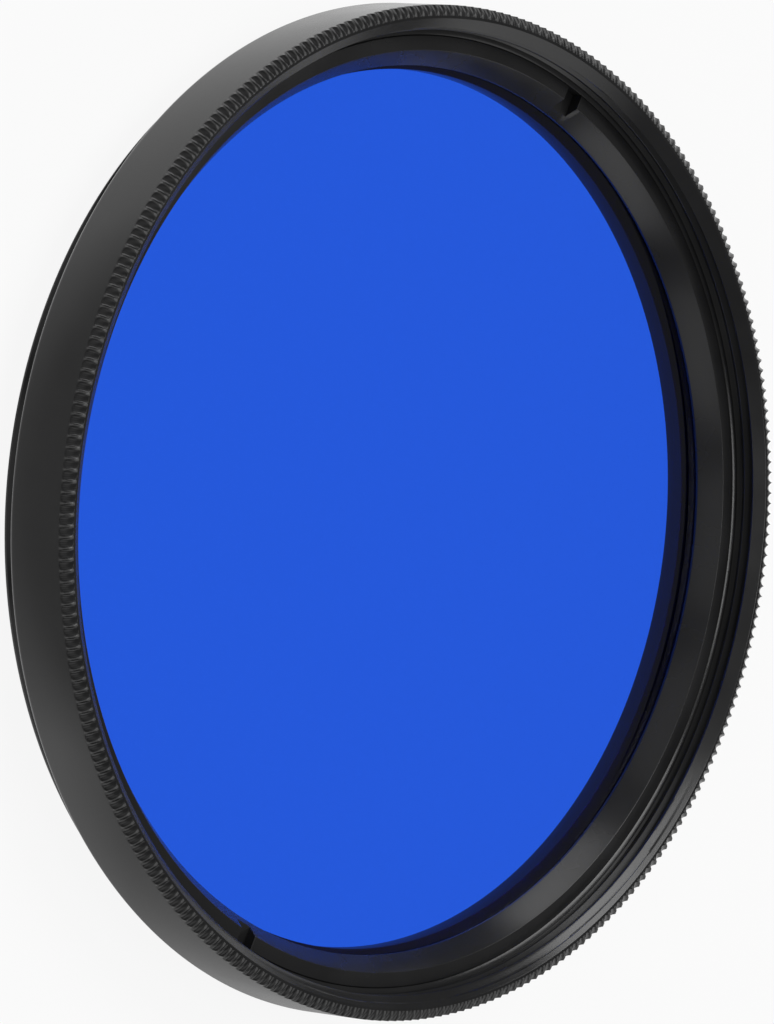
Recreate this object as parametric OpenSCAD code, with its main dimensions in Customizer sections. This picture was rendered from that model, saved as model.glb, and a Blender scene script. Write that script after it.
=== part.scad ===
// Screw-in colour filter: a turned and knurled cell, a disc of blue glass and
// the slotted ring that holds the disc down.
// The origin is the centre of the rear end face, and +Z is the optical axis,
// from the rear male thread towards the knurled front rim.  Millimetres.

/* [Threads] */
// Nominal diameter of the front and rear threads
thread_d = 55; // [20:0.5:105]
// Pitch of both threads
thread_pitch = 0.75; // [0.5:0.05:1]
// Length of the rear male thread, from the shoulder to the end face
rear_thread_l = 1.65; // [1:0.05:4]
// Depth of the front thread that is free above the retaining ring
front_thread_l = 1.7; // [1:0.05:6]
// How much smaller in radius the male thread is than its nominal size
male_clearance = 0.05; // [0:0.01:0.1]
// Width of the relief groove between the male thread and the shoulder
relief_w = 0.35; // [0.1:0.05:0.6]
// Chamfer at the end of the male thread
thread_end_chamfer = 0.25; // [0.05:0.05:0.4]

/* [Cell] */
// Wall between the thread and the outside of the cell
rim_wall = 1; // [0.7:0.05:4]
// Width of the front rim, from the thread to the knurl
rim_w = 0.4; // [0.1:0.05:0.5]
// Flat edge of the rim, between the lead-in and the knurl
rim_edge = 0.05; // [0.05:0.05:0.2]
// Chamfer at the rear edge of the smooth band
band_chamfer = 0.2; // [0.05:0.05:0.5]
// Thickness of the lip that the glass lies on
lip_t = 1.3; // [0.9:0.05:4]
// Width of the lip under the glass
lip_w = 1.4; // [1:0.1:5]
// Chamfer at the rear edge of the lip
lip_chamfer = 0.25; // [0.1:0.05:0.8]
// Step from the front bore in to the bore of the retaining ring
ledge_w = 0.3; // [0.05:0.05:0.5]
// How far the bore of the retaining ring runs on below the front of the glass
bore_run_out = 0.2; // [0.05:0.05:0.8]

/* [Knurl] */
// Number of grooves round the front corner
knurl_count = 294; // [60:2:360]
// Depth of a groove in radius, from the crests beside it to its root
knurl_depth = 0.35; // [0.1:0.01:0.45]
// Height of the knurled corner, from the tips of the grooves to the rim
knurl_h = 0.53; // [0.45:0.01:1.5]

/* [Glass] */
// Thickness of the glass
glass_t = 1.8; // [1:0.1:4]
// Wall between the glass and the bore of the retaining ring
glass_step = 0.5; // [0.3:0.05:3]
// Radial play of the glass in its pocket
glass_clearance = 0.1; // [0.05:0.01:0.3]
// Ground chamfer round both faces of the glass
glass_chamfer = 0.15; // [0.05:0.05:0.4]

/* [Retaining ring] */
// Height of the retaining ring
ring_h = 1.35; // [1:0.05:4]
// Width of the retaining ring at its foot
ring_w = 1.7; // [1.4:0.05:5]
// Width of the flat top, outside the bevel
ring_flat = 0.82; // [0.5:0.01:1.2]
// Height of the straight land under the bevel
ring_land = 0.15; // [0.05:0.05:0.5]
// Radial play of the ring in its bore
ring_clearance = 0.05; // [0.02:0.01:0.15]
// Chamfer round the top outer edge
ring_chamfer = 0.1; // [0.05:0.05:0.2]
// Width of the two spanner slots
slot_w = 1.2; // [0.6:0.1:2]
// Depth of the spanner slots
slot_d = 0.7; // [0.3:0.05:0.9]
// Direction of the slots, anticlockwise from +X
slot_angle = 67.5; // [0:0.25:180]

/* [Hidden] */

$fn = 180;

// Room that a cutting solid has beyond the surface it cuts
over = 0.5;

// Sides that each half-round groove of the knurl is drawn with
groove_sides = 4;

// Depth of an internal thread of this pitch, from its root to its crest
thread_depth = 0.5413 * thread_pitch;
thread_r = thread_d / 2;
front_bore_r = thread_r - thread_depth;
male_r = thread_r - male_clearance;
relief_r = male_r - thread_depth;

// Bores and pockets, from the front thread inwards
ring_bore_r = front_bore_r - ledge_w;
glass_pocket_r = ring_bore_r - glass_step;
glass_r = glass_pocket_r - glass_clearance;
lip_r = glass_r - lip_w;
ring_r = ring_bore_r - ring_clearance;
ring_inner_r = ring_r - ring_w;
ring_flat_r = ring_r - ring_flat;

// Heights, from the rear end face up
glass_z = lip_t;
ring_z = glass_z + glass_t;
ledge_z = ring_z + ring_h - ring_chamfer / 2;
cell_h = ring_z + ring_h + front_thread_l;
shoulder_z = rear_thread_l;

// Outside of the cell
outer_r = thread_r + rim_wall;

// The roots of the knurl lie on a cone, from the band at knurl_z up to the
// rim at knurl_r
knurl_z = cell_h - knurl_h;
knurl_r = thread_r + rim_w;
knurl_slope = (outer_r - knurl_r) / knurl_h;

// The lead-in is one cone, from the rim's edge down to the crest of the thread
lead_r = knurl_r - rim_edge;
lead_h = thread_depth;

// Radius of the groove roots at height z
function root_r(z) = outer_r - (z - knurl_z) * knurl_slope;

// A star of half-round grooves, with their roots at radius r.  Each groove is
// half an ellipse, with t from 0 to 180 degrees across it, and two grooves
// meet in a sharp crest.
function knurl_star(r) = [
    for (i = [0 : knurl_count - 1])
        for (k = [0 : groove_sides - 1])
            let (t = 180 * k / groove_sides)
            let (a = 360 * (i + (1 - cos(t)) / 2) / knurl_count)
            (r + knurl_depth * (1 - sin(t))) * [cos(a), sin(a)]
];

// The section of the cell, anticlockwise from the inner edge of its rear face
module cell_section() {
    polygon([
        [lip_r + lip_chamfer, 0],
        [male_r - thread_end_chamfer, 0],
        [male_r, thread_end_chamfer],
        [male_r, shoulder_z - relief_w],
        [relief_r, shoulder_z - relief_w],
        [relief_r, shoulder_z],
        [outer_r - band_chamfer, shoulder_z],
        [outer_r, shoulder_z + band_chamfer],
        [outer_r, cell_h],
        [lead_r, cell_h],
        [front_bore_r, cell_h - lead_h],
        [front_bore_r, ledge_z],
        [ring_bore_r, ledge_z],
        [ring_bore_r, ring_z - bore_run_out],
        [glass_pocket_r, ring_z - bore_run_out],
        [glass_pocket_r, glass_z],
        [lip_r, glass_z],
        [lip_r, lip_chamfer]
    ]);
}

// What the knurl takes away: all that is outside a fluted cone
module knurl_cutter() {
    z0 = knurl_z - over * knurl_h;
    z1 = cell_h + over;
    translate([0, 0, z0])
        difference() {
            cylinder(r = outer_r + over, h = z1 - z0);
            linear_extrude(height = z1 - z0, scale = root_r(z1) / root_r(z0))
                polygon(knurl_star(root_r(z0)));
        }
}

module filter_ring() {
    color([0.09, 0.09, 0.1])
        difference() {
            rotate_extrude() cell_section();
            knurl_cutter();
        }
}

// The section of the retaining ring, with its foot at height zero
module ring_section() {
    polygon([
        [ring_inner_r, 0],
        [ring_r, 0],
        [ring_r, ring_h - ring_chamfer],
        [ring_r - ring_chamfer, ring_h],
        [ring_flat_r, ring_h],
        [ring_inner_r, ring_land]
    ]);
}

module retaining_ring() {
    color([0.13, 0.13, 0.14])
        translate([0, 0, ring_z])
            difference() {
                rotate_extrude() ring_section();
                rotate([0, 0, slot_angle])
                    translate([-ring_r - over, -slot_w / 2, ring_h - slot_d])
                        cube([2 * (ring_r + over), slot_w, slot_d + over]);
            }
}

module filter_glass() {
    color([0.1, 0.3, 0.9, 0.7])
        translate([0, 0, glass_z])
            rotate_extrude()
                polygon([
                    [0, 0],
                    [glass_r - glass_chamfer, 0],
                    [glass_r, glass_chamfer],
                    [glass_r, glass_t - glass_chamfer],
                    [glass_r - glass_chamfer, glass_t],
                    [0, glass_t]
                ]);
}

filter_ring();
retaining_ring();
filter_glass();
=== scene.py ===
"""A screw-in colour filter, lying on its rear face: blue glass in a black knurled cell."""

import math

import bmesh
import bpy
import numpy as np
from mathutils import Matrix, Vector


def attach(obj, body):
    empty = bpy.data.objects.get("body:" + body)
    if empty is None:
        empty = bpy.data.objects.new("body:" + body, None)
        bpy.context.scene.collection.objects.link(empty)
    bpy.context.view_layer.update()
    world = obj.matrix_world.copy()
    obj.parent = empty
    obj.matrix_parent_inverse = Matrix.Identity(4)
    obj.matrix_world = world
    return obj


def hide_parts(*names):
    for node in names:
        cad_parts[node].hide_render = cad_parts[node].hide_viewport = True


# Lengths of the filter are in millimetres, and those of the stage in metres
MM = 0.001

# Sizes of the cell. All are those of the solids, apart from the rise of the ledge
PITCH = 0.75
THREAD_R = 27.5
THREAD_DEPTH = 0.5413 * PITCH
BORE_R = THREAD_R - THREAD_DEPTH
MALE_R = 27.45
RELIEF_R = MALE_R - THREAD_DEPTH
OUTER_R = 28.5
CELL_H = 6.15
SHOULDER_Z = 1.65
RELIEF_W = 0.35
END_CHAMFER = 0.25
BAND_CHAMFER = 0.2
LIP_R = 24.794
LIP_T = 1.3
LIP_CHAMFER = 0.25
POCKET_R = 26.294
RING_BORE_R = 26.794
RING_BORE_Z = 2.9
LEDGE_Z = 4.4
LEDGE_RISE = 0.08

# Radii of the rounded edges of the cell
BAND_ROUND = 0.42
SHOULDER_ROUND = 0.06
LIP_ROUND = 0.05
POCKET_ROUND = 0.04
LEDGE_ROUND = 0.02

# Threads. A crest's height is that at +X, and the front one was measured at -45 degrees.
# At its lower end, the front thread starts on a cone with the slope RUN_OUT
THREAD_ROUND = 0.025
MALE_CREST_Z = 0.7
FEMALE_CREST_Z = 5.63 + PITCH * 45 / 360
RUN_OUT = 1.2

# Knurl. RIM_EDGE is the width of the flat rim, and wider than in the solids
KNURL_COUNT = 294
KNURL_DEPTH = 0.35
KNURL_H = 0.53
KNURL_Z = CELL_H - KNURL_H
KNURL_R = 27.9
KNURL_SLOPE = (OUTER_R - KNURL_R) / KNURL_H
RIM_EDGE = 0.14
LEAD_R = KNURL_R - RIM_EDGE

# How much of its ellipse each half of a groove uses, and where its columns stand, as shares
# of the way from its root to its crest
GROOVE_REACH = 0.94
HALF_GROOVE = (0.14, 0.44, 0.7, 0.88, 0.98)
# The floor of a groove is crowned: how much, which way in r and z, and in which rows
GROOVE_CROWN = 0.05
CROWN_WAY = (0.65, 0.76)
CROWN_ROWS = (0.2, 0.4, 0.6, 0.8)
# How far the ends of a groove are broken, and the shares of it that make them round
KNURL_BREAK = 0.014
BREAK_CORNER, BREAK_SIDE = 0.3, 0.8

# Columns of the cell outside the knurl. The fine rows of the knurl go on to FINE_Z on the
# band and to FINE_R on the rim, and the coarse ones start a little beyond
COARSE = 2 * KNURL_COUNT
ANGLES = np.arange(COARSE) * 2 * math.pi / COARSE
FINE_Z = KNURL_Z - 0.1
COARSE_Z = FINE_Z - 0.06
FINE_R = LEAD_R + 0.08
COARSE_R = FINE_R - 0.01

# Other rows of the cell: on the chamfer of the male thread, on the rear face, on the ledge
# inside the crests of the front thread, on the lead-in, and at the lead-in's broken edge
CHAMFER_ROWS = 6
REAR_ROW_R = MALE_R - 0.6
LEDGE_ROW_R = BORE_R - 0.02
LEAD_ROWS = 12
LEAD_STOP = 0.015
LEAD_BREAK_R, LEAD_BREAK_Z = 0.01, 0.006

# Retaining ring. Its outer radius and its chamfer are not those of the solids
RING_Z = 3.1
RING_H = 1.35
RING_R = 26.78
RING_INNER_R = 25.044
RING_FLAT_R = 25.924
RING_LAND = 0.15
RING_CHAMFER = 0.05
RING_ROUND = 0.02
BEVEL_ROUND = 0.05
SLOT_HALF = 0.6
SLOT_Z = RING_Z + RING_H - 0.7
SLOT_ANGLE = 67.5
SLOT_BREAK = 0.05

# Columns of the ring between its slots, those across a slot as shares of its half width,
# and the places of two rows on the underside, from the inner edge
RING_COLUMNS = 290
SLOT_COLUMNS = (-1, -0.5, 0, 0.5, 1)
FOOT_ROWS = (0.3, 0.6)

# Glass. It is 0.005 clear of the lip and of the ring, so that no two faces share a plane
GLASS_R = 26.194
GLASS_Z = (1.305, 3.095)
GLASS_CHAMFER = 0.15

# Meshes: points closer than WELD, in metres, are one, and edges are sharp from these
# angles on, in degrees. Heights within TINY are the same
WELD = 1e-7
METAL_CREASE, GLASS_CREASE = 34, 20
TINY = 1e-9

# Noise textures: scale and detail
TURNED_LINES = (9000, 2)
GRAIN = (14000, 3)
CLOUD = (260, 3)
FIBRE = (900, 4)

# Black anodised metal: the colour of its darker, lighter and worn parts, the worn one also a
# painted highlight on the crests, and where in the cloud it is dark and light
BLACK_DARK = (0.014, 0.014, 0.0145, 1)
BLACK_LIGHT = (0.018, 0.018, 0.0185, 1)
BLACK_WORN_LIT = (0.1, 0.1, 0.1, 1)
CLOUD_DARK, CLOUD_LIGHT = 0.35, 0.65
# Its roughness, with the spread that this range of the cloud gives it, and the height of the
# turned lines, as a share of the grain's
CELL_ROUGH, RING_ROUGH = 0.2, 0.26
ROUGH_SPREAD, ROUGH_CLOUD = 0.03, (0.3, 0.7)
LINE_HEIGHT = 0.3
# Wear and painted highlight: the black is worn away, and lightened as a painted highlight of
# the light that the crests catch, up to the first of these distances from a crest, and whole
# from the second on, in grooves. Towards the ends of a groove, the flare widens the lit strip
WORN_LIT_WIDTH = (0.03, 0.09)
WORN_LIT_FLARE, WORN_LIT_POWER = 0.07, 4
# The wear and the painted highlight set in between these heights over the foot of the knurl
WORN_LIT_FOOT = (-0.05, 0.1)

# Colour of the glass, and of the light that lamps send through it
GLASS_TINT = (0.0125, 0.1, 0.765, 1)
SHADOW_TINT = (0.116, 0.313, 0.875, 1)

# How bright the room is, and the floor: FLOOR_GLOW for the camera, which sees it mixed with
# a little of the paper, and FLOOR_GLOSS for reflections
WORLD_LEVEL = 0.14
FLOOR_GLOW = 1.0
FLOOR_GLOSS = 0.95
FLOOR_SHARE = 0.9
# Painted shade: reflections see the floor darker beside the filter, on its left and below it,
# in place of the shade there. Each part has its level and the range of x or y where it ends,
# and the lower one a second range, of x
SIDE_SHADE, SIDE_EDGE = 0.4, (-0.031, -0.026)
LOW_SHADE, LOW_EDGE, LOW_END = 0.56, (-0.025, -0.017), (0.04, 0.05)

# Sweep of paper: flat from the first x to the second, then bent up and on to its top. It
# lies a little below the filter
SWEEP_X = (-0.8, 0.68)
SWEEP_BEND, BEND_STEPS = 0.1, 12
SWEEP_TOP = 0.12
SWEEP_HALF_W = 1.2
PAPER_GAP = 2e-5

# Lamps: name, direction, size in metres, power in watts
LAMP_DIST = 0.6
LAMPS = (
    ("key", (0.12, 0.6, 0.78), 0.3, 0.3),
    ("key_right", (0.3, 0.45, 0.84), 0.3, 1.0),
    ("top", (0.0, 0.97, 0.25), 0.3, 0.55),
    ("top_left", (-0.6, 0.6, 0.5), 0.3, 0.1),
    ("left", (-0.8, 0.0, 0.6), 0.3, 0.12),
    ("low_left", (-0.6, -0.6, 0.5), 0.3, 0.2),
    ("bottom", (0.0, -0.97, 0.25), 0.3, 0.3),
    ("low_right", (0.6, -0.65, 0.45), 0.3, 0.25),
    ("over", (0.09, 0.0, 1.0), 0.18, 0.4),
)

# Camera: the axis of the filter leans from the line of sight by VIEW_TILT. The picture's
# height, the focal length and how far the axis is off the picture's middle are in pixels
VIEW_TILT = math.radians(46.2)
VIEW_ROLL = math.radians(-5.209)
VIEW_DIST = 514.1
VIEW_Z = 6.005
IMAGE_H = 1024
FOCAL_PX = 9184
OFF_CENTRE_PX = (-45.2, 2.35)
SENSOR_MM = 36
CLIP = (0.01, 10)


# Profiles and meshes

def fillet(corner, back, on, radius, steps):
    """Points of a rounded corner. The ways back and on lead away from it."""
    back, on = back / np.linalg.norm(back), on / np.linalg.norm(on)
    half = math.acos(float(np.clip(back @ on, -1, 1))) / 2
    middle = corner + (back + on) / np.linalg.norm(back + on) * radius / math.sin(half)
    start = corner + back * radius / math.tan(half) - middle
    end = corner + on * radius / math.tan(half) - middle
    turn = math.atan2(start[0] * end[1] - start[1] * end[0], float(start @ end))
    points = []
    for k in range(steps + 1):
        c, s = math.cos(turn * k / steps), math.sin(turn * k / steps)
        turned = np.array([c * start[0] - s * start[1], s * start[0] + c * start[1]])
        points.append(middle + turned)
    return points


def rounded(corners, steps=3):
    """Points (r, z) of a profile. A corner is (r, z) or (r, z, radius of its rounding)."""
    places = [np.array(corner[:2], float) for corner in corners]
    points = []
    for i, (here, corner) in enumerate(zip(places, corners)):
        if len(corner) == 2:
            points.append(here)
        else:
            back, on = places[i - 1] - here, places[i + 1] - here
            points += fillet(here, back, on, corner[2], steps)
    return [tuple(p) for p in points]


def polar(r, angle, z):
    """Points at radius r, angle and height z, in millimetres."""
    r, angle, z = np.broadcast_arrays(r, angle, z)
    return np.stack([r * np.cos(angle), r * np.sin(angle), z], -1).reshape(-1, 3)


def new_object(name, data):
    """A new object in the scene."""
    thing = bpy.data.objects.new(name, data)
    bpy.context.scene.collection.objects.link(thing)
    return thing


class Shell:
    """Rows of points round the axis, and the faces between the rows."""

    def __init__(self):
        self.points, self.faces, self.count = [], [], 0

    def row(self, points):
        """Add a row, and return the numbers of its points."""
        self.points.append(points)
        self.count += len(points)
        return np.arange(self.count - len(points), self.count)

    def quads(self, a, b):
        """Closed band of quads between two rows of the same length."""
        a2, b2 = np.roll(a, -1), np.roll(b, -1)
        self.faces += np.stack([a, a2, b2, b], -1).tolist()

    def bands(self, rows):
        """Bands of quads between each row and the next."""
        for a, b in zip(rows, rows[1:]):
            self.quads(a, b)

    def next_row(self, last, r, z):
        """A row at a radius and height, in the coarse columns, joined to the last one."""
        row = self.row(polar(r, ANGLES, z))
        self.quads(last, row)
        return row

    def lathe(self, last, profile):
        """A row for each point of a profile, joined to the last one."""
        for r, z in profile:
            last = self.next_row(last, r, z)
        return last

    def fans(self, fine, coarse):
        """Closed band of triangles between a fine row and a coarse one."""
        n, k = len(fine), len(fine) // len(coarse)
        for j, corner in enumerate(coarse):
            near = [fine[(j * k + i) % n] for i in range(1 - k // 2, k - k // 2 + 2)]
            self.faces += [(corner, p, q) for p, q in zip(near, near[1:])]
            self.faces.append((corner, near[-1], coarse[(j + 1) % len(coarse)]))

    def mesh(self, name, crease):
        """The finished object, smooth but for the edges sharper than crease."""
        mesh = bpy.data.meshes.new(name)
        mesh.from_pydata((np.concatenate(self.points) * MM).tolist(), [], self.faces)
        bm = bmesh.new()
        bm.from_mesh(mesh)
        bmesh.ops.remove_doubles(bm, verts=bm.verts, dist=WELD)
        bmesh.ops.dissolve_degenerate(bm, edges=bm.edges, dist=WELD)
        bmesh.ops.recalc_face_normals(bm, faces=bm.faces)
        bm.to_mesh(mesh)
        bm.free()
        mesh.shade_smooth()
        mesh.set_sharp_from_angle(angle=math.radians(crease))
        return new_object(name, mesh)


# Threads

class Thread:
    """A right-handed 60 degree thread. Depth runs from the crest to the root."""

    def __init__(self, crest_r, root_r, crest_z, steps=2):
        self.crest_r, self.root_r, self.crest_z = crest_r, root_r, crest_z
        depth = abs(root_r - crest_r)
        half_crest, half_root = PITCH / 8, PITCH / 16
        half = rounded([
            (0, 0),
            (half_crest, 0, THREAD_ROUND),
            (PITCH / 2 - half_root, depth, THREAD_ROUND),
            (PITCH / 2, depth),
        ], steps)
        self.along = np.array([p[0] for p in half])
        self.depth = np.array([p[1] for p in half])
        self.offsets = np.concatenate([self.along[:-1], PITCH - self.along[:0:-1]])

    def radius(self, z):
        """Radius of the thread at a height, in each coarse column."""
        turn = (z - self.crest_z) / PITCH - ANGLES / (2 * math.pi)
        off = np.abs(turn - np.round(turn)) * PITCH
        sign = 1 if self.root_r > self.crest_r else -1
        return self.crest_r + sign * np.interp(off, self.along, self.depth)

    def rows(self, shell, low, high, run_out=0):
        """Rows that follow the helix between the heights low and high.

        With a run_out, the thread ends below on a cone of this slope. After a full turn,
        each row meets the one that started a pitch above it.
        """
        per_turn = len(self.offsets)
        first = math.floor((low - self.crest_z) / PITCH) - 2
        last = math.ceil((high - self.crest_z) / PITCH) + 1
        base = np.concatenate([
            self.crest_z + PITCH * k + self.offsets for k in range(first, last + 1)
        ])
        climb = PITCH * ANGLES / (2 * math.pi)
        rows = []
        for b in base:
            z = np.clip(b + climb, low, high)
            r = self.radius(z)
            if run_out:
                r = np.minimum(r, self.crest_r + (z - low) * run_out)
            rows.append(shell.row(polar(r, ANGLES, z)))
        for k in range(len(rows) - 1):
            a, b = rows[k], rows[k + 1]
            shell.faces += np.stack([a[:-1], a[1:], b[1:], b[:-1]], -1).tolist()
            if k + 1 + per_turn < len(rows):
                c, d = rows[k + per_turn], rows[k + 1 + per_turn]
                shell.faces.append([int(a[-1]), int(c[0]), int(d[0]), int(b[-1])])
        return rows[0], rows[-1]


# The cell

def groove_height(s):
    """Height of a groove's wall above its root, at a share of the way to its crest."""
    fall = 1 - math.sqrt(1 - (GROOVE_REACH * s) ** 2)
    return KNURL_DEPTH * fall / (1 - math.sqrt(1 - GROOVE_REACH ** 2))


def knurl_profile(height):
    """Profile across the front corner, where the groove's wall stands this high."""
    leave_z = KNURL_Z + height / KNURL_SLOPE
    meet_r = KNURL_R + height
    # The crown lets the ends of a groove run out gently, and falls to nothing at a crest
    crown = GROOVE_CROWN * (1 - height / KNURL_DEPTH)
    floor = []
    for u in CROWN_ROWS:
        out, up = (way * crown * 4 * u * (1 - u) for way in CROWN_WAY)
        floor.append((OUTER_R + (meet_r - OUTER_R) * u + out,
                      leave_z + (CELL_H - leave_z) * u + up))
    corner = BREAK_CORNER * KNURL_BREAK
    side = KNURL_BREAK * KNURL_SLOPE * BREAK_SIDE
    return [
        (OUTER_R, FINE_Z),
        (OUTER_R, leave_z - KNURL_BREAK),
        (OUTER_R - corner, leave_z),
        (OUTER_R - side, leave_z + KNURL_BREAK),
        *floor,
        (meet_r + side, CELL_H - KNURL_BREAK),
        (meet_r, CELL_H - corner),
        (meet_r - KNURL_BREAK, CELL_H),
        (FINE_R, CELL_H),
    ]


def knurl_rows(shell):
    """The knurled corner. Returns its lowest row, on the band, and its last, on the rim."""
    places = [-s for s in reversed(HALF_GROOVE)] + list(HALF_GROOVE)
    profiles = [knurl_profile(groove_height(abs(s))) for s in places]
    grooves = np.arange(KNURL_COUNT)[:, None] + 0.5
    angles = ((grooves + np.array(places) / 2) * 2 * math.pi / KNURL_COUNT).ravel()
    rows = []
    for points in zip(*profiles):
        r, z = (np.tile(values, KNURL_COUNT) for values in zip(*points))
        rows.append(shell.row(polar(r, angles, z)))
    shell.bands(rows)
    return rows[0], rows[-1]


def outside_rows(shell, last):
    """The band, the shoulder, the relief groove and the male thread with its chamfer."""
    profile = rounded([
        (OUTER_R, COARSE_Z),
        (OUTER_R, SHOULDER_Z + BAND_CHAMFER, BAND_ROUND),
        (OUTER_R - BAND_CHAMFER, SHOULDER_Z, SHOULDER_ROUND),
        (RELIEF_R, SHOULDER_Z, POCKET_ROUND),
        (RELIEF_R, SHOULDER_Z - RELIEF_W),
    ], steps=4)
    relief = shell.lathe(last, profile[1:])
    male = Thread(MALE_R, RELIEF_R, MALE_CREST_Z, steps=1)
    last, high = male.rows(shell, END_CHAMFER, SHOULDER_Z - RELIEF_W)
    shell.quads(relief, high)
    for z in np.linspace(END_CHAMFER, 0, CHAMFER_ROWS)[1:]:
        chamfer_r = MALE_R - END_CHAMFER + z
        last = shell.next_row(last, np.minimum(male.radius(z), chamfer_r), z)
    return last


def inside_rows(shell, last):
    """The rear face, the lip, the pocket of the glass and the bore of the retaining ring."""
    profile = rounded([
        (REAR_ROW_R, 0),
        (LIP_R + LIP_CHAMFER, 0, LIP_ROUND),
        (LIP_R, LIP_CHAMFER, LIP_ROUND),
        (LIP_R, LIP_T, POCKET_ROUND),
        (POCKET_R, LIP_T, POCKET_ROUND),
        (POCKET_R, RING_BORE_Z, POCKET_ROUND),
        (RING_BORE_R, RING_BORE_Z, POCKET_ROUND),
        (RING_BORE_R, LEDGE_Z, LEDGE_ROUND),
        (LEDGE_ROW_R, LEDGE_Z + LEDGE_RISE),
    ], steps=2)
    return shell.lathe(last, profile)


def front_rows(shell, last):
    """The female thread, the lead-in and the rim, up to the knurl."""
    lead_z = CELL_H - THREAD_DEPTH
    female = Thread(BORE_R, THREAD_R, FEMALE_CREST_Z)
    low, high = female.rows(shell, LEDGE_Z + LEDGE_RISE, lead_z, RUN_OUT)
    shell.quads(last, low)
    last = high
    for z in np.linspace(lead_z, CELL_H - LEAD_STOP, LEAD_ROWS)[1:]:
        lead_r = BORE_R + (z - lead_z) * (LEAD_R - BORE_R) / THREAD_DEPTH
        last = shell.next_row(last, np.maximum(female.radius(z), lead_r), z)
    return shell.lathe(last, [
        (LEAD_R - LEAD_BREAK_R, CELL_H - LEAD_BREAK_Z),
        (LEAD_R + LEAD_BREAK_R, CELL_H),
        (COARSE_R, CELL_H),
    ])


def make_cell():
    """The cell, one closed mesh round its whole section."""
    shell = Shell()
    knurl_low, knurl_high = knurl_rows(shell)
    last = shell.row(polar(OUTER_R, ANGLES, COARSE_Z))
    shell.fans(knurl_low, last)
    for add_rows in (outside_rows, inside_rows, front_rows):
        last = add_rows(shell, last)
    shell.fans(knurl_high, last)
    return shell.mesh("cell", METAL_CREASE)


# The retaining ring

def ring_section():
    """Points (r, z) round the section of the retaining ring, from its underside."""
    top = RING_Z + RING_H
    slope = (RING_FLAT_R - RING_INNER_R) / (RING_H - RING_LAND)
    floor_r = RING_INNER_R + (SLOT_Z - RING_Z - RING_LAND) * slope
    return np.array(rounded([
        (RING_INNER_R + FOOT_ROWS[0], RING_Z),
        (RING_INNER_R, RING_Z, RING_ROUND),
        (RING_INNER_R, RING_Z + RING_LAND, RING_ROUND),
        (floor_r, SLOT_Z),
        (RING_FLAT_R, top, BEVEL_ROUND),
        (RING_R - RING_CHAMFER, top, RING_ROUND),
        (RING_R, top - RING_CHAMFER, RING_ROUND),
        (RING_R, SLOT_Z),
        (RING_R, RING_Z, RING_ROUND),
        (RING_INNER_R + FOOT_ROWS[1], RING_Z),
    ]))


def ring_columns(r, z):
    """Angles and heights of the section's points in each column: slot, ring, slot, ring."""
    above = z > SLOT_Z + TINY
    floor = np.where(above, SLOT_Z, z)
    broken = np.where(above, np.maximum(z - SLOT_BREAK, SLOT_Z), z)
    wall = np.arcsin(SLOT_HALF / r)
    edge = np.arcsin((SLOT_HALF + SLOT_BREAK) / r)
    columns = []
    for half in (0, 1):
        middle = math.radians(SLOT_ANGLE) + math.pi * half
        columns += [(middle + share * wall, floor) for share in SLOT_COLUMNS]
        columns.append((middle + wall, broken))
        for share in np.linspace(0, 1, RING_COLUMNS):
            columns.append((middle + edge + share * (math.pi - 2 * edge), z))
        columns.append((middle + math.pi - wall, broken))
    return columns


def make_retaining_ring():
    """The retaining ring, one closed mesh with two slots across it."""
    r, z = ring_section().T
    columns = ring_columns(r, z)
    shell = Shell()
    rows = []
    for k in range(len(r)):
        angles = np.array([angle[k] for angle, height in columns])
        heights = np.array([height[k] for angle, height in columns])
        rows.append(shell.row(polar(r[k], angles, heights)))
    shell.bands(rows + rows[:1])
    return shell.mesh("retaining_ring_fine", METAL_CREASE)


# The glass

def make_glass():
    """The disc of glass, with a ground chamfer round both faces."""
    shell = Shell()
    low, high = GLASS_Z
    profile = [
        (GLASS_R - GLASS_CHAMFER, low),
        (GLASS_R, low + GLASS_CHAMFER),
        (GLASS_R, high - GLASS_CHAMFER),
        (GLASS_R - GLASS_CHAMFER, high),
    ]
    rows = [shell.row(polar(r, ANGLES, z)) for r, z in profile]
    shell.bands(rows)
    for row, z in ((rows[0], low), (rows[-1], high)):
        centre = int(shell.row(np.array([[0.0, 0.0, z]]))[0])
        shell.faces += [(centre, int(p), int(q)) for p, q in zip(row, np.roll(row, -1))]
    return shell.mesh("blue_disc", GLASS_CREASE)


# Materials

class Nodes:
    """Short calls for the nodes of one material."""

    def __init__(self, name):
        self.material = bpy.data.materials.new(name)
        self.material.use_nodes = True
        self.tree = self.material.node_tree
        self.tree.nodes.clear()

    def add(self, kind, inputs=None, **settings):
        """A node with its settings. An input is a value, or an output of another node."""
        node = self.tree.nodes.new(kind)
        for key, value in settings.items():
            setattr(node, key, value)
        for key, value in (inputs or {}).items():
            socket = node.inputs[key]
            if isinstance(value, bpy.types.NodeSocket):
                self.tree.links.new(value, socket)
            else:
                socket.default_value = value
        return node

    def math(self, operation, a, b=0.0):
        """One step of arithmetic."""
        return self.add("ShaderNodeMath", {0: a, 1: b}, operation=operation).outputs[0]

    def noise(self, where, scale, detail):
        """Noise from zero to one."""
        inputs = {"Vector": where, "Scale": scale, "Detail": detail}
        return self.add("ShaderNodeTexNoise", inputs).outputs[0]

    def fade(self, value, edges, start=0.0, end=1.0):
        """From start to end, while the value passes from one edge to the other."""
        return self.add("ShaderNodeMapRange", {
            "Value": value, "From Min": edges[0], "From Max": edges[1],
            "To Min": start, "To Max": end,
        }).outputs[0]

    def place(self):
        """Place on the object in metres, whole and as x, y and z."""
        where = self.add("ShaderNodeTexCoord").outputs["Object"]
        return where, self.add("ShaderNodeSeparateXYZ", {0: where}).outputs

    def surface(self, shader):
        """Make this the surface, and return the material."""
        out = self.add("ShaderNodeOutputMaterial")
        self.tree.links.new(shader.outputs[0], out.inputs["Surface"])
        return self.material


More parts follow.
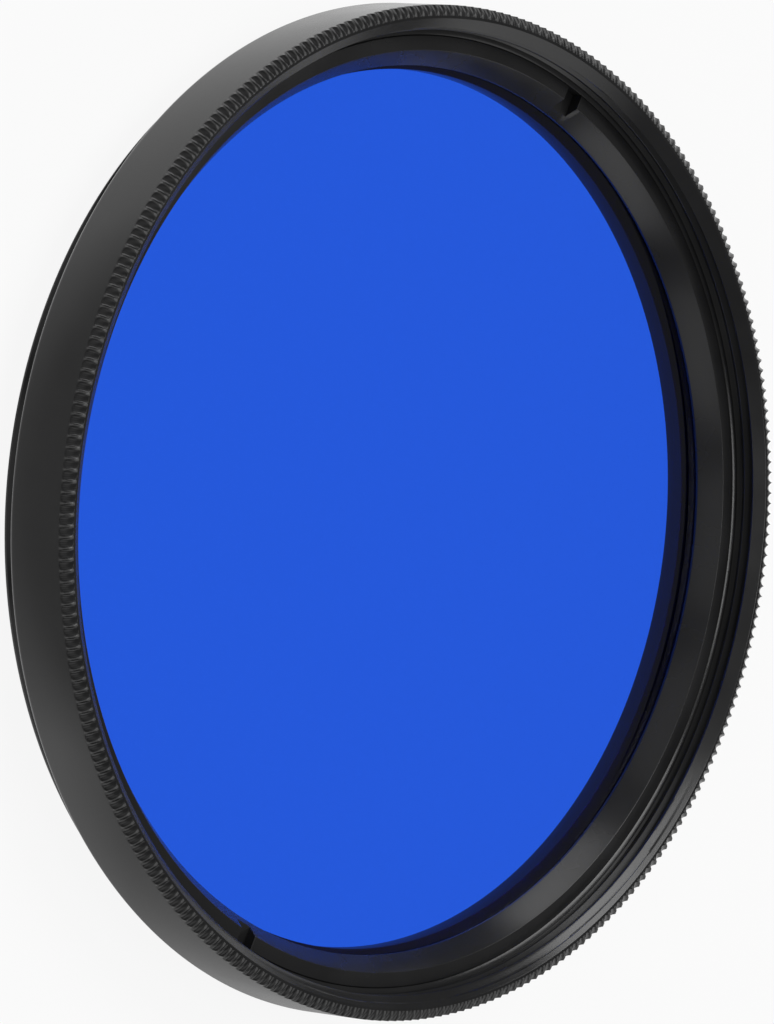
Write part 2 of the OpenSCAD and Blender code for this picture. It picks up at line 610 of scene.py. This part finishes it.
def radius_squared(n, xyz):
    """Square of the distance from the axis."""
    x2, y2 = (n.math("MULTIPLY", xyz[k], xyz[k]) for k in (0, 1))
    return n.math("ADD", x2, y2)


def crest_wear_and_highlight(n, xyz):
    """One on the crests of the knurl, where the black has wear and a painted highlight, and
    zero elsewhere.
    """
    turns = n.math("MULTIPLY", n.math("ARCTAN2", xyz[1], xyz[0]), KNURL_COUNT / (2 * math.pi))
    middle = (CELL_H - KNURL_H / 2) * MM
    along = n.math("DIVIDE", n.math("SUBTRACT", xyz[2], middle), KNURL_H / 2 * MM)
    end = n.math("POWER", n.math("ABSOLUTE", along), WORN_LIT_POWER)
    flare = n.math("MULTIPLY", end, WORN_LIT_FLARE)
    beside = n.math("SUBTRACT", n.math("PINGPONG", turns, 0.5), flare)
    crest = n.fade(beside, WORN_LIT_WIDTH, 1.0, 0.0)
    above = n.fade(xyz[2], [(KNURL_Z + foot) * MM for foot in WORN_LIT_FOOT])
    outside = n.math("GREATER_THAN", radius_squared(n, xyz), (KNURL_R * MM) ** 2)
    return n.math("MULTIPLY", n.math("MULTIPLY", crest, above), outside)


def black_relief(n, where, xyz):
    """Bump of fine turned lines and a soft grain."""
    # Noise at a place in the section alone makes lines that run round the axis
    radius = n.math("SQRT", radius_squared(n, xyz))
    section = n.add("ShaderNodeCombineXYZ", {0: radius, 2: xyz[2]}).outputs[0]
    lines = n.math("MULTIPLY", n.noise(section, *TURNED_LINES), LINE_HEIGHT)
    height = n.math("ADD", lines, n.noise(where, *GRAIN))
    return n.add("ShaderNodeBump", {"Height": height, "Strength": 0.35, "Distance": 4e-6})


def anodised(name, roughness, worn_lit=None):
    """Black anodised aluminium, a little cloudy. On the cell, its crests are lighter, from
    wear and a painted highlight.
    """
    n = Nodes(name)
    where, xyz = n.place()
    cloud = n.noise(where, *CLOUD)
    ramp = n.add("ShaderNodeValToRGB", {"Fac": cloud})
    dark, light = ramp.color_ramp.elements
    dark.color, dark.position = BLACK_DARK, CLOUD_DARK
    light.color, light.position = BLACK_LIGHT, CLOUD_LIGHT
    colour = ramp.outputs[0]
    # The crests are lighter: wear, and a painted highlight of the light they catch
    if worn_lit:
        colour = n.add("ShaderNodeMix", {0: crest_wear_and_highlight(n, xyz), 6: colour, 7: worn_lit},
                       data_type="RGBA").outputs[2]
    rough = n.fade(cloud, ROUGH_CLOUD, roughness - ROUGH_SPREAD, roughness + ROUGH_SPREAD)
    tangent = n.add("ShaderNodeTangent", direction_type="RADIAL", axis="Z")
    return n.surface(n.add("ShaderNodeBsdfPrincipled", {
        "Base Color": colour,
        "Roughness": rough,
        "Normal": black_relief(n, where, xyz).outputs[0],
        "Tangent": tangent.outputs[0],
        "Anisotropic": 0.6,
        "Anisotropic Rotation": 0.25,
        "IOR": 1.5,
    }))


def blue_glass():
    """Clear blue glass. Lamps reach what lies behind it, in its colour."""
    n = Nodes("blue_glass_clear")
    shader = n.add("ShaderNodeBsdfPrincipled", {
        "Base Color": GLASS_TINT,
        "Roughness": 0.0,
        "IOR": 1.52,
        "Transmission Weight": 1.0,
    })
    path = n.add("ShaderNodeLightPath")
    through = n.add("ShaderNodeBsdfTransparent", {"Color": SHADOW_TINT})
    return n.surface(n.add("ShaderNodeMixShader", {
        0: path.outputs["Is Shadow Ray"], 1: shader.outputs[0], 2: through.outputs[0],
    }))


def floor_gloss(n, xyz):
    """How bright reflections see the floor, with painted shade on its left and below, beside
    the filter.
    """
    # Painted shade beside the filter, seen only in reflections
    side = n.fade(xyz[0], SIDE_EDGE, SIDE_SHADE, 1.0)
    low = n.fade(xyz[1], LOW_EDGE, LOW_SHADE, 1.0)
    low = n.math("MAXIMUM", low, n.fade(xyz[0], LOW_END))
    return n.math("MULTIPLY", n.math("MULTIPLY", side, low), FLOOR_GLOSS)


def floor_material():
    """White paper. The camera and most reflections see it almost evenly white."""
    n = Nodes("white_paper")
    where, xyz = n.place()
    fibre = n.noise(where, *FIBRE)
    bump = n.add("ShaderNodeBump", {"Height": fibre, "Strength": 0.05, "Distance": 2e-5})
    paper = n.add("ShaderNodeBsdfDiffuse", {
        "Color": (0.9, 0.9, 0.9, 1), "Normal": bump.outputs[0],
    })
    path = n.add("ShaderNodeLightPath").outputs
    through = path["Is Transmission Ray"]
    reflected = n.math("MULTIPLY", path["Is Glossy Ray"], n.math("SUBTRACT", 1, through))
    change = n.math("SUBTRACT", floor_gloss(n, xyz), FLOOR_GLOW)
    strength = n.math("ADD", n.math("MULTIPLY", change, reflected), FLOOR_GLOW)
    glow = n.add("ShaderNodeEmission", {"Color": (1, 1, 1, 1), "Strength": strength})
    seen = n.math("MULTIPLY", path["Is Camera Ray"], FLOOR_SHARE)
    share = n.math("MAXIMUM", seen, n.math("MAXIMUM", reflected, through))
    return n.surface(n.add("ShaderNodeMixShader", {
        0: share, 1: paper.outputs[0], 2: glow.outputs[0],
    }))


# Stage

def make_floor():
    """A sheet of white paper that lies flat and sweeps up far behind the filter."""
    start, bend_x = SWEEP_X
    line = [(start, 0.0), (bend_x, 0.0)]
    for k in range(1, BEND_STEPS + 1):
        a = math.pi / 2 * k / BEND_STEPS
        line.append((bend_x + SWEEP_BEND * math.sin(a), SWEEP_BEND * (1 - math.cos(a))))
    line.append((bend_x + SWEEP_BEND, SWEEP_TOP))
    verts = [(x, y, z - PAPER_GAP) for x, z in line for y in (-SWEEP_HALF_W, SWEEP_HALF_W)]
    faces = [(2 * i, 2 * i + 1, 2 * i + 3, 2 * i + 2) for i in range(len(line) - 1)]
    mesh = bpy.data.meshes.new("paper_sweep")
    mesh.from_pydata(verts, [], faces)
    mesh.shade_smooth()
    floor = new_object("paper_sweep", mesh)
    floor.data.materials.append(floor_material())


def make_lamp(name, direction, size, power):
    """A square soft box that faces the filter."""
    data = bpy.data.lights.new(name, "AREA")
    data.size, data.energy = size, power
    lamp = new_object(name, data)
    to_lamp = Vector(direction).normalized()
    lamp.location = to_lamp * LAMP_DIST
    lamp.rotation_mode = "QUATERNION"
    lamp.rotation_quaternion = to_lamp.to_track_quat("Z", "Y")


def make_world():
    """A dim grey room, white where the camera sees it."""
    world = bpy.data.worlds.new("studio")
    world.use_nodes = True
    tree = world.node_tree
    path = tree.nodes.new("ShaderNodeLightPath")
    level = tree.nodes.new("ShaderNodeMapRange")
    level.inputs["To Min"].default_value = WORLD_LEVEL
    level.inputs["To Max"].default_value = 1.0
    tree.links.new(path.outputs["Is Camera Ray"], level.inputs["Value"])
    tree.links.new(level.outputs[0], tree.nodes["Background"].inputs["Strength"])
    tree.nodes["Background"].inputs["Color"].default_value = (1, 1, 1, 1)
    bpy.context.scene.world = world


def make_camera():
    """The photograph's view: tilted, rolled, and aimed a little off the axis."""
    forward = Vector((math.sin(VIEW_TILT), 0, -math.cos(VIEW_TILT)))
    level_right = Vector((math.cos(VIEW_TILT), 0, math.sin(VIEW_TILT)))
    level_up = Vector((0, 1, 0))
    right = level_right * math.cos(VIEW_ROLL) - level_up * math.sin(VIEW_ROLL)
    up = level_right * math.sin(VIEW_ROLL) + level_up * math.cos(VIEW_ROLL)
    place = Vector((0, 0, VIEW_Z)) - forward * VIEW_DIST
    # The picture's middle is a little left of the axis and above it
    dx, dy = (v / FOCAL_PX for v in OFF_CENTRE_PX)
    look = (forward + right * dx + up * dy).normalized()
    right = (right - look * right.dot(look)).normalized()
    up = right.cross(look)
    data = bpy.data.cameras.new("camera")
    data.sensor_width = SENSOR_MM
    data.lens = FOCAL_PX * SENSOR_MM / IMAGE_H
    data.clip_start, data.clip_end = CLIP
    camera = new_object("camera", data)
    turn = Matrix((right, up, -look)).transposed()
    camera.matrix_world = Matrix.Translation(place * MM) @ turn.to_4x4()
    bpy.context.scene.camera = camera


def dress(piece, node, material):
    """Give a piece its material and its place in the part."""
    piece.data.materials.append(material)
    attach(piece, "root")
    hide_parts(node)


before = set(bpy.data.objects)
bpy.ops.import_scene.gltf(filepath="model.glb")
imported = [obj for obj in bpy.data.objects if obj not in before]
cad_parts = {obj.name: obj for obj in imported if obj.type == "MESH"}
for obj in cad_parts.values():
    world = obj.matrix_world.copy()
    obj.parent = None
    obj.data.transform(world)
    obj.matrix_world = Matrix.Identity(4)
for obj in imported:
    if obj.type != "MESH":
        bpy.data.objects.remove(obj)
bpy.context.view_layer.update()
scene = bpy.context.scene
scene.view_settings.view_transform = "Standard"

make_camera()
# The cell's knurl crests get a lighter colour: wear, and a painted highlight
dress(make_cell(), "filter_ring",
      anodised("anodised_cell", CELL_ROUGH, BLACK_WORN_LIT))
dress(make_retaining_ring(), "retaining_ring",
      anodised("anodised_retainer", RING_ROUGH))
dress(make_glass(), "filter_glass", blue_glass())

make_floor()
make_world()
for lamp in LAMPS:
    make_lamp(*lamp)
